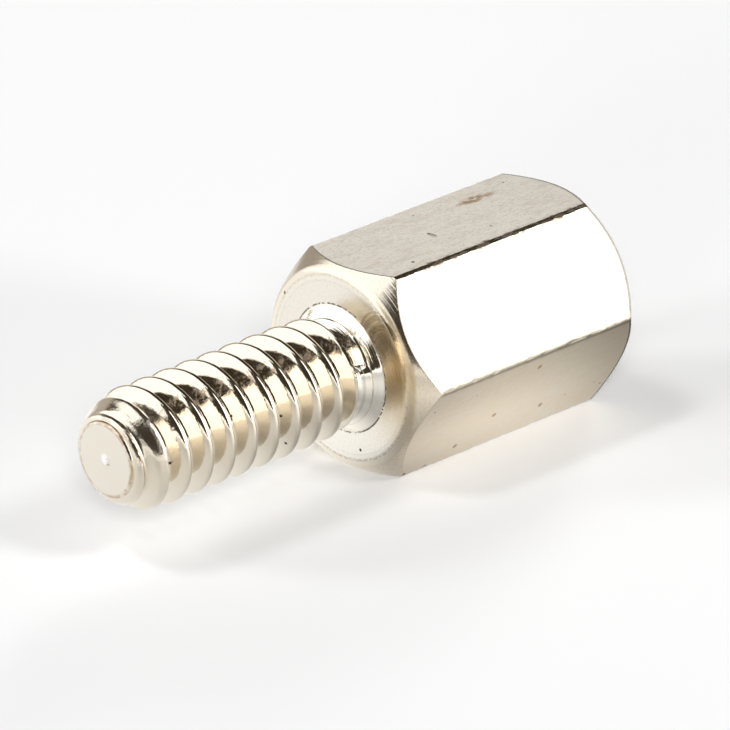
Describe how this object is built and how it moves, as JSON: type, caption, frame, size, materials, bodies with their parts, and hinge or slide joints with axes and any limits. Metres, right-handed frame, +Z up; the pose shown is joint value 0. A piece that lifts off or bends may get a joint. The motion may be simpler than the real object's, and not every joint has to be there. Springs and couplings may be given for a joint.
{
  "type": "hex standoff",
  "caption": "Male-female hex standoff: hexagonal spacer body with a threaded stud at the shoulder and a tapped blind hole in the far end.",
  "frame": {"origin": "centre of the shoulder face, on the axis, where the stud meets the hex body", "axes": "+X along the axis from the shoulder through the hex body to the end with the tapped hole, the stud along -X, +Z up from a flat that the body lies on"},
  "size_m": [0.0137, 0.0054, 0.0048],
  "materials": {
    "nickel_plating": "bright nickel plating, slightly warm, with light scratches and small stains"
  },
  "bodies": {
    "root": {"hex_standoff": "nickel_plating"}
  },
  "joints": []
}
